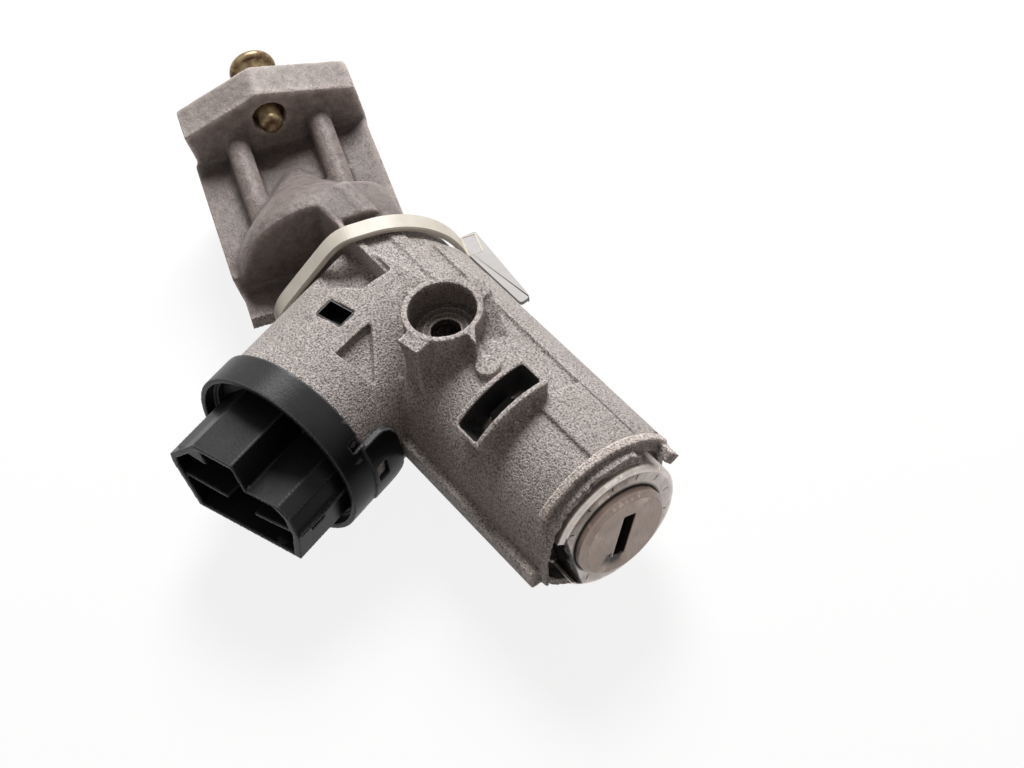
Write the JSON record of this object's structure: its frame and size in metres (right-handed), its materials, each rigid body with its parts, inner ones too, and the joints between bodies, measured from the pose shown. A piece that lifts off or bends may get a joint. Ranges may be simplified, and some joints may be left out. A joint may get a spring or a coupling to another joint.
{
  "type": "ignition switch",
  "caption": "Ignition switch with steering lock: die-cast lock barrel with key cylinder, side switch with connector socket, and a column bracket with a shear bolt.",
  "frame": {"origin": "on the key cylinder's axis, in the plane of the lock barrel's front rim", "axes": "+X along the key axis out of the keyhole, +Z along the screw cup's axis, switch branch towards -Y"},
  "size_m": [0.163, 0.0957, 0.0467],
  "materials": {
    "cast_metal": "cast, matt",
    "nickel": "satin",
    "steel": "machined",
    "spring_steel": "drawn",
    "brass": "plain",
    "zinc_yellow": "yellow passivated",
    "copper": "plain",
    "black_plastic": "moulded",
    "pale_plastic": "moulded",
    "nylon": "moulded, translucent"
  },
  "bodies": {
    "housing": {"lock_housing": "cast_metal", "cylinder_sleeve": "nickel", "catch_spring": "spring_steel", "shaft_bearing": "cast_metal", "return_spring": "spring_steel", "lock_bolt_spring": "spring_steel", "bolt_cover": "steel", "cover_pins": "steel", "connector_housing": "black_plastic", "blade_terminals": "brass", "switch_ring": "black_plastic", "shear_bolt": "zinc_yellow", "marker_tie": "nylon"},
    "key": {"key_plug": "nickel", "wafer_springs": "spring_steel", "drive_shaft": "steel", "drive_gear": "steel", "lock_cam": "steel"},
    "wafers": {"wafer_tumblers": "brass"},
    "catch": {"cylinder_catch": "steel"},
    "bolt": {"lock_bolt": "steel"},
    "rotor": {"switch_gear": "pale_plastic", "switch_rotor": "pale_plastic", "contact_bridge": "copper", "contact_springs": "spring_steel"}
  },
  "joints": [
    {"name": "key_turn", "type": "hinge", "parent": "housing", "child": "key", "pos_m": [-0.04, 0, 0], "axis": [-1, 0, 0], "range_deg": [0, 90]},
    {"name": "switch_turn", "type": "hinge", "parent": "housing", "child": "rotor", "pos_m": [-0.075, 0, 0], "axis": [0.2639, -0.9646, 0], "range_deg": [0, 90]},
    {"name": "bolt_slide", "type": "slide", "parent": "housing", "child": "bolt", "axis": [0.9421, -0.3355, 0], "range_m": [0, 0.007], "deforming": ["lock_bolt_spring"]},
    {"name": "wafer_lift", "type": "slide", "parent": "key", "child": "wafers", "axis": [0, -0.3502, -0.9367], "range_m": [-0.0014, 0], "deforming": ["wafer_springs"]},
    {"name": "catch_press", "type": "slide", "parent": "housing", "child": "catch", "axis": [0, 0.309, -0.9511], "range_m": [0, 0.0033], "stiffness_N_per_m": 300, "springref_m": -0.004, "deforming": ["catch_spring"]}
  ],
  "couplings": [
    {"joint": "switch_turn", "follows": "key_turn", "ratio": 1},
    {"joint": "bolt_slide", "follows": "key_turn", "m_per_rad": 0.0044563}
  ]
}
